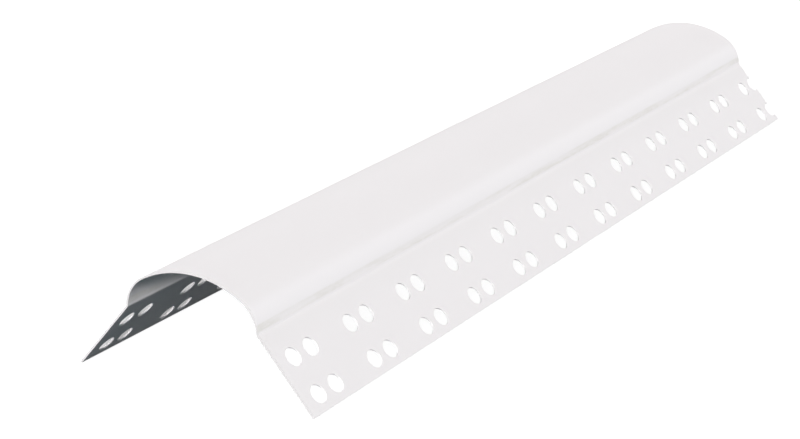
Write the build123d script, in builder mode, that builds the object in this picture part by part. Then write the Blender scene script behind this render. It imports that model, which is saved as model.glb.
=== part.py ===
"""Bullnose corner bead: a short length of thin white vinyl trim for a rounded outside wall corner.

The bead is one extrusion of even wall: a wide flattened nose, a shoulder on each side that turns down
to a narrow root, and a flat flange that splays out from each root. Both flanges are punched with two rows
of round holes in pairs. It stands on its two flange edges with the nose up.
+X runs along the bead from the near end to the far end, +Z is up, and the origin is on the floor
under the middle of the bead.
"""
import os
from math import cos, radians, sin

from build123d import *

# Driving dimensions, in millimetres and degrees
length = 382.3
wall = 0.6

# Nose: the angles are measured from upright, at the nose's middle
crown_radius = 38.0
crown_half_angle = 30.0
shoulder_radius = 12.8
shoulder_end_angle = 87.7

# Flanges: the width runs from the root to the free edge
flange_angle = 40.8
flange_width = 30.75
root_radius = 0.8

# Punched holes: the inner row is measured from the root and the outer row from the free edge
hole_diameter = 6.5
pair_pitch = 33.0
hole_spacing = 9.75
first_pair = 13.2
root_to_inner_row = 11.15
edge_to_outer_row = 5.75

# Places worked out from the driving dimensions
hole_radius = hole_diameter / 2
hole_rows = (root_to_inner_row, flange_width - edge_to_outer_row)
shoulder_offset = crown_radius - shoulder_radius
flange_across = sin(radians(flange_angle))
flange_down = cos(radians(flange_angle))
shoulder_centre_y = shoulder_offset * sin(radians(crown_half_angle))
root_y = shoulder_centre_y + shoulder_radius * sin(radians(shoulder_end_angle))
root_z = flange_width * flange_down + wall * flange_across
shoulder_centre_z = root_z - shoulder_radius * cos(radians(shoulder_end_angle))
crown_centre_z = shoulder_centre_z - shoulder_offset * cos(radians(crown_half_angle))
edge_y = root_y + flange_width * flange_across
edge_z = root_z - flange_width * flange_down

# Hole places along the bead: whole pairs run on until the far end cuts through them
pair_count = int(length / pair_pitch) + 2
pair_places = [first_pair + number * pair_pitch for number in range(pair_count)]
hole_places = [place + step * hole_spacing / 2 for place in pair_places for step in (-1, 1)]
hole_places = [place for place in hole_places if place < length + hole_radius]

with BuildPart() as corner_bead:
    # Section: the outer skin from edge to edge, thickened inwards
    with BuildSketch(Plane.YZ.offset(-length / 2)) as section:
        with BuildLine() as skin:
            with BuildLine() as right_side:
                shoulder = CenterArc(
                    (shoulder_centre_y, shoulder_centre_z),
                    shoulder_radius,
                    90 - crown_half_angle,
                    crown_half_angle - shoulder_end_angle,
                )
                Line(shoulder @ 1, (edge_y, edge_z))
                root = right_side.vertices().sort_by_distance(shoulder @ 1)[0]
                fillet(root, root_radius)
            mirror(about=Plane.YZ)
            CenterArc((0, crown_centre_z), crown_radius, 90 - crown_half_angle, 2 * crown_half_angle)
            offset(amount=wall, side=Side.RIGHT)
        make_face()
    extrude(amount=length)

    # Punched holes: the same rows on each flange's outer face
    for side in (-1, 1):
        flange_plane = Plane(
            origin=(-length / 2, side * root_y, root_z),
            x_dir=(1, 0, 0),
            z_dir=(0, side * flange_down, flange_across),
        )
        with BuildSketch(flange_plane) as punch:
            with Locations(*[(place, side * row) for place in hole_places for row in hole_rows]):
                Circle(hole_radius)
        extrude(amount=2 * wall, both=True, mode=Mode.SUBTRACT)

corner_bead.part.label = "corner_bead"

os.makedirs("parts", exist_ok=True)
export_step(corner_bead.part, "parts/corner_bead.step")
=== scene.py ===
"""Looks for a bullnose corner bead: one thin white vinyl sheet, rolled to its section, punched and cut."""
import math

import bpy
from mathutils import Euler, Matrix, Vector


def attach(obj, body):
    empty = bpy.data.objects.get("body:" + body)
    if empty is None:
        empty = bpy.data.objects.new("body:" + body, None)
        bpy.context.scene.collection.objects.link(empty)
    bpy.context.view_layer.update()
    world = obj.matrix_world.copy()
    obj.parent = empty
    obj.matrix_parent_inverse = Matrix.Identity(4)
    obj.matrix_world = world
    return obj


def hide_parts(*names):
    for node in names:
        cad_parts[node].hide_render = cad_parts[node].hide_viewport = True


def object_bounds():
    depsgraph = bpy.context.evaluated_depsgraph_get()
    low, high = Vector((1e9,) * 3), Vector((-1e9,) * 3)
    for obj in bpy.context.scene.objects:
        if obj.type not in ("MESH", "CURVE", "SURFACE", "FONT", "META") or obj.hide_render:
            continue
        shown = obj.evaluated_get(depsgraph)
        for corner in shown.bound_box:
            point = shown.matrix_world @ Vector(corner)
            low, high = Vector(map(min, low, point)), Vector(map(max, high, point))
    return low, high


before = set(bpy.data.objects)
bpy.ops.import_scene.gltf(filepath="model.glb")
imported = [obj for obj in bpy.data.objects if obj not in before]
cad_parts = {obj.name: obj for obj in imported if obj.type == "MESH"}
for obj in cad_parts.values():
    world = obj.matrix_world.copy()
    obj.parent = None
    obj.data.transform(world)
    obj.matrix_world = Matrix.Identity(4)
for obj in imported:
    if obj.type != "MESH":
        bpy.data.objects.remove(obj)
cad_low, cad_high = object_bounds()

MM = 0.001

# Section of the bead, the same real sizes as the solid
WALL = 0.6 * MM
CROWN_RADIUS = 38.0 * MM
CROWN_HALF_ANGLE = math.radians(30.0)
SHOULDER_RADIUS = 12.8 * MM
SHOULDER_END_ANGLE = math.radians(87.7)
FLANGE_ANGLE = math.radians(40.8)
FLANGE_WIDTH = 30.75 * MM
ROOT_RADIUS = 0.8 * MM

# Punched holes, in pairs along two rows on each flange
HOLE_RADIUS = 3.25 * MM
PAIR_PITCH = 33.0 * MM
HOLE_SPACING = 9.75 * MM
FIRST_PAIR = 13.2 * MM
ROOT_TO_INNER_ROW = 11.15 * MM
EDGE_TO_OUTER_ROW = 5.75 * MM

# Finish of the mesh
ROOT_STEPS = 8
SHOULDER_STEPS = 28
CROWN_STEPS = 18
HOLE_SIDES = 56
PUNCH_DEPTH = 6 * WALL
EDGE_ROUNDING = 0.09 * MM
EDGE_SEGMENTS = 2
SHARP_ANGLE = math.radians(35.0)
FACE_WEIGHT = 100
MERGE = 0.005 * MM

# Places worked out from the frame and the section
LENGTH = cad_high.x - cad_low.x
ACROSS = math.sin(FLANGE_ANGLE)
DOWN = math.cos(FLANGE_ANGLE)
SHOULDER_OFFSET = CROWN_RADIUS - SHOULDER_RADIUS
SHOULDER_Y = SHOULDER_OFFSET * math.sin(CROWN_HALF_ANGLE)
ROOT_Y = SHOULDER_Y + SHOULDER_RADIUS * math.sin(SHOULDER_END_ANGLE)
ROOT_Z = cad_low.z + FLANGE_WIDTH * DOWN + WALL * ACROSS
SHOULDER_Z = ROOT_Z - SHOULDER_RADIUS * math.cos(SHOULDER_END_ANGLE)
CROWN_Z = SHOULDER_Z - SHOULDER_OFFSET * math.cos(CROWN_HALF_ANGLE)
DOWN_FLANGE = Vector((0, -ACROSS, -DOWN))
OUT_OF_FLANGE = Vector((0, -DOWN, ACROSS))
ROOT = Vector((0, -ROOT_Y, ROOT_Z))
CROWN_CENTRE = Vector((0, 0, CROWN_Z))
SHOULDER_CENTRE = Vector((0, -SHOULDER_Y, SHOULDER_Z))
FLANGE_TILT = Euler((math.pi / 2 - FLANGE_ANGLE, 0, 0))
BEAD_MIDDLE = (cad_low + cad_high) / 2

# Tones of the vinyl
PALE_VINYL = (0.870, 0.8455, 0.854, 1)
DUSKY_VINYL = (0.850, 0.826, 0.834, 1)
# Painted highlight: a lighter band on each shoulder
PAINTED_HIGHLIGHT_TONE = (0.893, 0.870, 0.882, 1)
# Painted shade on the top of each flange, next to the root
FLANGE_TOP_PAINTED_SHADE = (0.832, 0.809, 0.815, 1)
# Painted light at the foot of each shoulder, against the shade that falls there
SHOULDER_FOOT_PAINTED_LIGHT = (0.918, 0.892, 0.901, 1)
# Painted shade: a mottled darker line on each shoulder just above the root
PAINTED_SHADE_LINE_TONE = (0.820, 0.796, 0.778, 1)
# Painted shade on the cut ends, to offset the lamps that face the near end
CUT_END_SHADE_TONE = (0.57, 0.554, 0.558, 1)

# Depth from each end to which the painted shade on the cut face is full
CUT_END_SHADE_DEPTH = 0.02 * MM

# Bands of painted highlight, light and shade along the bead, in millimetres above the roots: where each
# starts, is full, fades and ends
PAINTED_HIGHLIGHT_BAND = (2.4, 3.4, 7.0, 10.0)
SHOULDER_FOOT_LIGHT_BAND = (-0.3, 0.3, 0.8, 3.5)
PAINTED_SHADE_LINE_BAND = (0.4, 1.2, 2.8, 3.3)
FLANGE_TOP_SHADE_BAND = (-8.0, -0.2, 0.0, 0.3)

# Noise in the vinyl: how many times a metre it changes along, across and up the bead, and its detail
CLOUDS = ((18, 40, 40), 4.0)
# PATCHES and MOTTLE break up the line of painted shade above each root
PATCHES = ((30, 350, 350), 1.0)
MOTTLE = ((280, 1100, 1100), 2.0)
DRAW_LINES = ((4, 900, 900), 3.0)

# The low and high levels of the noise that count, and what they give
PATCH_LEVELS = (0.38, 0.60, 0.25, 1.0)
MOTTLE_LEVELS = (0.36, 0.60, 0.55, 1.0)
ROUGHNESS_LEVELS = (0.25, 0.75, 0.66, 0.76)

# Gloss and relief of the vinyl
VINYL_IOR = 1.5
VINYL_SPECULAR = 0.1
DRAW_LINE_DEPTH = 0.02 * MM
DRAW_LINE_STRENGTH = 0.25

# Camera, from the photograph's perspective
IMAGE_WIDTH_PX = 800
FOCAL_LENGTH_PX = 2120.0
SENSOR_WIDTH_MM = 36.0
CAMERA_PLACE = Vector((-685.6, -375.0, 265.6)) * MM
CAMERA_AZIMUTH = math.radians(58.88)
CAMERA_ELEVATION = math.radians(18.72)
CAMERA_ROLL = math.radians(-0.35)

# Light: each lamp's azimuth, elevation and spread in degrees, and its level
LAMPS = (
    ("low_front_lamp", -72.0, 20.0, 12.0, 0.87),
    ("high_front_lamp", -55.0, 33.0, 12.0, 0.28),
    ("side_lamp", 10.0, 21.0, 30.0, 0.39),
    ("high_back_lamp", 227.5, 25.4, 35.0, 0.69),
    ("low_back_lamp", 170.0, 12.0, 25.0, 0.34),
)
SKY_STRENGTH = 0.03

# Floor: a white card under and before the bead, and white paper from the far flange's foot back
FLOOR_SIZE = 24.0
CARD_EDGE = cad_high.y
CARD_EASE = 3.0 * MM
CARD_GLOW = 0.97
CARD_WHITE = 0.12
PAPER_GLOW = 0.2
PAPER_WHITE = 0.95
FLOOR_BOUNCE = (0.032, 0.056, 0.067, 1)

# Painted shadow on the floor behind the far flange's foot, which starts on a slant at the near end
SHADE_GLOW = 0.25
SHADE_WHITE = 0.2
SHADE_START = CARD_EDGE - 1.0 * MM
SHADE_DARKEST = CARD_EDGE + 0.5 * MM
SHADE_FADE = CARD_EDGE + 7.0 * MM
SHADE_END = CARD_EDGE + 22.0 * MM
SHADE_SLANT = 2.52
SHADE_NEAR_GAP = 0.5 * MM
SHADE_NEAR_EASE = 14.0 * MM
SHADE_FAR_EASE = 28.0 * MM


def deselect_all():
    bpy.ops.object.select_all(action="DESELECT")


def work_on(piece):
    deselect_all()
    piece.select_set(True)
    bpy.context.view_layer.objects.active = piece


def apply_modifier(piece, kind, **settings):
    """Adds a modifier with these settings and applies it."""
    work_on(piece)
    modifier = piece.modifiers.new(kind.lower(), kind)
    for name, value in settings.items():
        setattr(modifier, name, value)
    bpy.ops.object.modifier_apply(modifier=modifier.name)


def face_outwards(piece):
    """Turns every face of a spun or mirrored mesh to its outer side."""
    work_on(piece)
    bpy.ops.object.mode_set(mode="EDIT")
    bpy.ops.mesh.select_all(action="SELECT")
    bpy.ops.mesh.normals_make_consistent(inside=False)
    bpy.ops.object.mode_set(mode="OBJECT")


def root_bend():
    """Centre of the small hollow bend at the near root, and how far down the flange it starts."""
    reach = ROOT + OUT_OF_FLANGE * ROOT_RADIUS - SHOULDER_CENTRE
    along = reach.dot(DOWN_FLANGE)
    span = (SHOULDER_RADIUS + ROOT_RADIUS) ** 2 - reach.length_squared
    start = -along + math.sqrt(along ** 2 + span)
    return ROOT + DOWN_FLANGE * start + OUT_OF_FLANGE * ROOT_RADIUS, start


def select_leading_edge(sheet):
    """Selects the long edge of the sheet that has come furthest up towards the crown."""
    bpy.ops.mesh.select_mode(type="EDGE")
    bpy.ops.mesh.select_all(action="DESELECT")
    bpy.ops.object.mode_set(mode="OBJECT")
    lead = max(vertex.co.z for vertex in sheet.data.vertices)
    for vertex in sheet.data.vertices:
        vertex.select = vertex.co.z > lead - MERGE
    for edge in sheet.data.edges:
        edge.select = all(sheet.data.vertices[end].select for end in edge.vertices)
    bpy.ops.object.mode_set(mode="EDIT")


def roll_sheet():
    """Flat near flange, rolled up round the root, the shoulder and half the crown, then mirrored."""
    bend_centre, bend_start = root_bend()
    flat_width = FLANGE_WIDTH - bend_start
    middle = ROOT + DOWN_FLANGE * (bend_start + flat_width / 2)
    deselect_all()
    bpy.ops.mesh.primitive_plane_add(size=1, location=middle, rotation=FLANGE_TILT)
    sheet = bpy.context.object
    sheet.name = "vinyl_bead"
    sheet.data.name = "vinyl_bead"
    sheet.scale = (LENGTH, flat_width, 1)
    bpy.ops.object.transform_apply(location=True, rotation=True, scale=True)

    to_bend = bend_centre - SHOULDER_CENTRE
    shoulder_end = math.atan2(-to_bend.y, to_bend.z)
    bend_angle = shoulder_end - (math.pi / 2 - FLANGE_ANGLE)
    turns = (
        (ROOT_STEPS, -bend_angle, bend_centre),
        (SHOULDER_STEPS, shoulder_end - CROWN_HALF_ANGLE, SHOULDER_CENTRE),
        (CROWN_STEPS, CROWN_HALF_ANGLE, CROWN_CENTRE),
    )
    bpy.ops.object.mode_set(mode="EDIT")
    for steps, angle, centre in turns:
        select_leading_edge(sheet)
        bpy.ops.mesh.spin(steps=steps, angle=angle, center=centre, axis=(1, 0, 0))
    bpy.ops.mesh.select_all(action="SELECT")
    bpy.ops.mesh.remove_doubles(threshold=MERGE)
    bpy.ops.object.mode_set(mode="OBJECT")
    apply_modifier(sheet, "MIRROR", use_axis=(False, True, False), merge_threshold=MERGE)
    face_outwards(sheet)
    return sheet


def punch_tools():
    """A round punch for each hole: one, repeated to a pair, along the flange, in two rows, on both sides."""
    row = ROOT + DOWN_FLANGE * ROOT_TO_INNER_ROW
    first_hole = Vector((cad_low.x + FIRST_PAIR - HOLE_SPACING / 2, row.y, row.z))
    deselect_all()
    bpy.ops.mesh.primitive_cylinder_add(
        vertices=HOLE_SIDES, radius=HOLE_RADIUS, depth=PUNCH_DEPTH, location=first_hole, rotation=FLANGE_TILT
    )
    punches = bpy.context.object
    bpy.ops.object.transform_apply(location=True, rotation=True, scale=True)
    first_rim = FIRST_PAIR - HOLE_SPACING / 2 - HOLE_RADIUS
    pair_count = int((LENGTH - first_rim) / PAIR_PITCH) + 1
    row_step = DOWN_FLANGE * (FLANGE_WIDTH - EDGE_TO_OUTER_ROW - ROOT_TO_INNER_ROW)
    repeats = (
        (2, Vector((HOLE_SPACING, 0, 0))),
        (pair_count, Vector((PAIR_PITCH, 0, 0))),
        (2, row_step),
    )
    for count, step in repeats:
        apply_modifier(
            punches, "ARRAY", count=count, use_relative_offset=False,
            use_constant_offset=True, constant_offset_displace=step,
        )
    apply_modifier(punches, "MIRROR", use_axis=(False, True, False))
    face_outwards(punches)
    return punches


def make_bead():
    """Rolls the sheet, gives it its wall inwards, punches it and rounds its cut edges a little."""
    bead = roll_sheet()
    apply_modifier(bead, "SOLIDIFY", thickness=WALL, offset=-1, use_even_offset=True)
    punches = punch_tools()
    apply_modifier(bead, "BOOLEAN", operation="DIFFERENCE", object=punches, solver="EXACT")
    bpy.data.objects.remove(punches)
    apply_modifier(
        bead, "BEVEL", width=EDGE_ROUNDING, segments=EDGE_SEGMENTS,
        limit_method="ANGLE", angle_limit=SHARP_ANGLE,
    )
    work_on(bead)
    bpy.ops.object.shade_smooth()
    apply_modifier(bead, "WEIGHTED_NORMAL", mode="FACE_AREA", weight=FACE_WEIGHT)
    return bead


def ramp(tree, value, low, high, to_low=0.0, to_high=1.0):
    """Socket that eases from one level to another as a value goes from low to high."""
    ease = tree.nodes.new("ShaderNodeMapRange")
    ease.interpolation_type = "SMOOTHSTEP"
    ease.inputs["From Min"].default_value = low
    ease.inputs["From Max"].default_value = high
    ease.inputs["To Min"].default_value = to_low
    ease.inputs["To Max"].default_value = to_high
    tree.links.new(value, ease.inputs["Value"])
    return ease.outputs["Result"]


def fall(tree, value, low, high):
    """Socket that eases from 1 to 0 as a value goes from low to high."""
    return ramp(tree, value, low, high, 1.0, 0.0)


def combine(tree, operation, first, second):
    """Socket for two values put together by one operation."""
    both = tree.nodes.new("ShaderNodeMath")
    both.operation = operation
    tree.links.new(first, both.inputs[0])
    tree.links.new(second, both.inputs[1])
    return both.outputs["Value"]


def product(tree, first, second):
    return combine(tree, "MULTIPLY", first, second)


def band(tree, height, marks):
    """Socket that is 1 within a band along the bead: it starts, is full, fades and ends at these marks."""
    start, full, fade, end = (ROOT_Z + mark * MM for mark in marks)
    return product(tree, ramp(tree, height, start, full), fall(tree, height, fade, end))


def streaks(tree, place, stretch, detail):
    """Noise drawn out along the bead, as the die leaves it."""
    along = tree.nodes.new("ShaderNodeMapping")
    along.inputs["Scale"].default_value = stretch
    tree.links.new(place, along.inputs["Vector"])
    noise = tree.nodes.new("ShaderNodeTexNoise")
    noise.inputs["Scale"].default_value = 1.0
    noise.inputs["Detail"].default_value = detail
    tree.links.new(along.outputs["Vector"], noise.inputs["Vector"])
    return noise.outputs["Fac"]


def blend(tree, amount, first, second):
    """Socket for a colour that goes from the first, a colour or a socket, to the second by an amount."""
    mix = tree.nodes.new("ShaderNodeMix")
    mix.data_type = "RGBA"
    tree.links.new(amount, mix.inputs["Factor"])
    if isinstance(first, tuple):
        mix.inputs["A"].default_value = first
    else:
        tree.links.new(first, mix.inputs["A"])
    mix.inputs["B"].default_value = second
    return mix.outputs["Result"]


def skin_tone(tree, place, height):
    """Socket for the skin's colour: faint clouds, a painted highlight on each shoulder, painted shade on
    each flange's top, painted light and a mottled line of painted shade at each shoulder's foot.
    """
    tone = blend(tree, streaks(tree, place, *CLOUDS), DUSKY_VINYL, PALE_VINYL)
    # Painted highlight on each shoulder
    tone = blend(tree, band(tree, height, PAINTED_HIGHLIGHT_BAND), tone, PAINTED_HIGHLIGHT_TONE)
    # Painted shade on the top of each flange
    tone = blend(tree, band(tree, height, FLANGE_TOP_SHADE_BAND), tone, FLANGE_TOP_PAINTED_SHADE)
    # Painted light at the foot of each shoulder
    tone = blend(tree, band(tree, height, SHOULDER_FOOT_LIGHT_BAND), tone, SHOULDER_FOOT_PAINTED_LIGHT)
    # Mottled line of painted shade just above each root
    patches = ramp(tree, streaks(tree, place, *PATCHES), *PATCH_LEVELS)
    mottle = ramp(tree, streaks(tree, place, *MOTTLE), *MOTTLE_LEVELS)
    shade_line = product(tree, band(tree, height, PAINTED_SHADE_LINE_BAND), product(tree, patches, mottle))
    return blend(tree, shade_line, tone, PAINTED_SHADE_LINE_TONE)


def end_tone(tree, skin, along):
    """Socket for the skin's colour with painted shade on the cut ends."""
    from_middle = tree.nodes.new("ShaderNodeMath")
    from_middle.operation = "ABSOLUTE"
    tree.links.new(along, from_middle.inputs[0])
    end = LENGTH / 2
    end_shade = ramp(tree, from_middle.outputs["Value"], end - EDGE_ROUNDING, end - CUT_END_SHADE_DEPTH)
    return blend(tree, end_shade, skin, CUT_END_SHADE_TONE)


def white_vinyl():
    """Extruded white vinyl: matte, with faint lines drawn along the bead."""
    material = bpy.data.materials.new("white_vinyl")
    material.use_nodes = True
    tree = material.node_tree
    shader = tree.nodes["Principled BSDF"]
    shader.inputs["IOR"].default_value = VINYL_IOR
    shader.inputs["Specular IOR Level"].default_value = VINYL_SPECULAR
    place = tree.nodes.new("ShaderNodeTexCoord").outputs["Object"]
    split = tree.nodes.new("ShaderNodeSeparateXYZ")
    tree.links.new(place, split.inputs["Vector"])

    skin = skin_tone(tree, place, split.outputs["Z"])
    tree.links.new(end_tone(tree, skin, split.outputs["X"]), shader.inputs["Base Color"])

    draw_lines = streaks(tree, place, *DRAW_LINES)
    tree.links.new(ramp(tree, draw_lines, *ROUGHNESS_LEVELS), shader.inputs["Roughness"])
    relief = tree.nodes.new("ShaderNodeBump")
    relief.inputs["Strength"].default_value = DRAW_LINE_STRENGTH
    relief.inputs["Distance"].default_value = DRAW_LINE_DEPTH
    tree.links.new(draw_lines, relief.inputs["Height"])
    tree.links.new(relief.outputs["Normal"], shader.inputs["Normal"])
    return material


def seen_directly(tree):
    """Socket that is 1 for rays from the camera, gloss and glass, and 0 for light that bounces."""
    path = tree.nodes.new("ShaderNodeLightPath").outputs
    glossy_too = combine(tree, "MAXIMUM", path["Is Camera Ray"], path["Is Glossy Ray"])
    return combine(tree, "MAXIMUM", glossy_too, path["Is Transmission Ray"])


def white_paper(tree, glow_strength, white):
    """Shader for white paper that also glows."""
    glow = tree.nodes.new("ShaderNodeEmission")
    glow.inputs["Color"].default_value = (1, 1, 1, 1)
    glow.inputs["Strength"].default_value = glow_strength
    paper = tree.nodes.new("ShaderNodeBsdfDiffuse")
    paper.inputs["Color"].default_value = (white, white, white, 1)
    both = tree.nodes.new("ShaderNodeAddShader")
    tree.links.new(glow.outputs["Emission"], both.inputs[0])
    tree.links.new(paper.outputs["BSDF"], both.inputs[1])
    return both.outputs["Shader"]


def mix_shaders(tree, amount, first, second):
    """Shader that goes from the first to the second by an amount."""
    mix = tree.nodes.new("ShaderNodeMixShader")
    tree.links.new(amount, mix.inputs["Fac"])
    tree.links.new(first, mix.inputs[1])
    tree.links.new(second, mix.inputs[2])
    return mix.outputs["Shader"]


def far_foot_shade(tree, along, across):
    """Socket for a painted shadow that is 1 on the floor close behind the far flange's foot, and eases off
    further back.
    """
    slanted = tree.nodes.new("ShaderNodeMath")
    slanted.operation = "MULTIPLY_ADD"
    slanted.inputs[1].default_value = -SHADE_SLANT
    tree.links.new(across, slanted.inputs[0])
    tree.links.new(along, slanted.inputs[2])
    start = cad_low.x - SHADE_SLANT * CARD_EDGE
    near_end = ramp(tree, slanted.outputs["Value"], start + SHADE_NEAR_GAP, start + SHADE_NEAR_EASE)
    far_end = fall(tree, along, cad_high.x - SHADE_FAR_EASE, cad_high.x)
    foot = ramp(tree, across, SHADE_START, SHADE_DARKEST)
    reach = fall(tree, across, SHADE_FADE, SHADE_END)
    return product(tree, product(tree, near_end, far_end), product(tree, foot, reach))


def pale_floor():
    """White floor: a glowing card under and before the bead, and paper behind it that takes its shadow, with
    a painted shadow close behind the far flange's foot.
    """
    deselect_all()
    bpy.ops.mesh.primitive_plane_add(size=FLOOR_SIZE, location=(0, 0, cad_low.z))
    floor = bpy.context.object
    floor.name = "floor"
    material = bpy.data.materials.new("pale_floor")
    material.use_nodes = True
    tree = material.node_tree
    tree.nodes.remove(tree.nodes["Principled BSDF"])
    split = tree.nodes.new("ShaderNodeSeparateXYZ")
    tree.links.new(tree.nodes.new("ShaderNodeTexCoord").outputs["Object"], split.inputs["Vector"])
    along, across = split.outputs["X"], split.outputs["Y"]
    behind = ramp(tree, across, CARD_EDGE, CARD_EDGE + CARD_EASE)
    card = white_paper(tree, CARD_GLOW, CARD_WHITE)
    white = mix_shaders(tree, behind, card, white_paper(tree, PAPER_GLOW, PAPER_WHITE))
    # Painted shadow close behind the far flange's foot
    shaded = far_foot_shade(tree, along, across)
    white = mix_shaders(tree, shaded, white, white_paper(tree, SHADE_GLOW, SHADE_WHITE))
    bounce = tree.nodes.new("ShaderNodeBsdfDiffuse")
    bounce.inputs["Color"].default_value = FLOOR_BOUNCE
    surface = mix_shaders(tree, seen_directly(tree), bounce.outputs["BSDF"], white)
    tree.links.new(surface, tree.nodes["Material Output"].inputs["Surface"])
    floor.data.materials.append(material)


def studio_sky():
    """Even soft light from all round above the floor, white where it is seen."""
    world = bpy.data.worlds.new("studio_sky")
    world.use_nodes = True
    tree = world.node_tree
    backdrop = tree.nodes["Background"]
    backdrop.inputs["Color"].default_value = (1, 1, 1, 1)
    strength = tree.nodes.new("ShaderNodeMapRange")
    strength.inputs["To Min"].default_value = SKY_STRENGTH
    strength.inputs["To Max"].default_value = 1.0
    tree.links.new(seen_directly(tree), strength.inputs["Value"])
    tree.links.new(strength.outputs["Result"], backdrop.inputs["Strength"])
    bpy.context.scene.world = world


def soft_lamp(name, azimuth, elevation, spread, level):
    """Broad lamp a long way off, even along the bead; a white face turned to it comes out at this level."""
    turn, lift = math.radians(azimuth), math.radians(elevation)
    away = Vector((math.sin(turn) * math.cos(lift), -math.cos(turn) * math.cos(lift), math.sin(lift)))
    lamp = bpy.data.lights.new(name, "SUN")
    lamp.angle = math.radians(spread)
    lamp.energy = level * math.pi
    holder = bpy.data.objects.new(name, lamp)
    bpy.context.scene.collection.objects.link(holder)
    holder.location = BEAD_MIDDLE + away
    holder.rotation_euler = away.to_track_quat("Z", "Y").to_euler()


def photo_camera():
    """Camera at the photograph's place, turned by its azimuth, elevation and slight roll."""
    camera = bpy.data.objects.new("camera", bpy.data.cameras.new("camera"))
    bpy.context.scene.collection.objects.link(camera)
    camera.data.sensor_fit = "HORIZONTAL"
    camera.data.sensor_width = SENSOR_WIDTH_MM
    camera.data.lens = FOCAL_LENGTH_PX / IMAGE_WIDTH_PX * SENSOR_WIDTH_MM
    aim = Euler((math.pi / 2 - CAMERA_ELEVATION, 0, -CAMERA_AZIMUTH)).to_matrix()
    turned = aim @ Matrix.Rotation(CAMERA_ROLL, 3, "Z")
    camera.location = CAMERA_PLACE
    camera.rotation_euler = turned.to_euler()
    bpy.context.scene.camera = camera


bead = make_bead()
bead.data.materials.clear()
bead.data.materials.append(white_vinyl())
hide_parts("corner_bead")
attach(bead, "root")

pale_floor()
studio_sky()
for lamp in LAMPS:
    soft_lamp(*lamp)
photo_camera()
bpy.context.scene.view_settings.view_transform = "Standard"
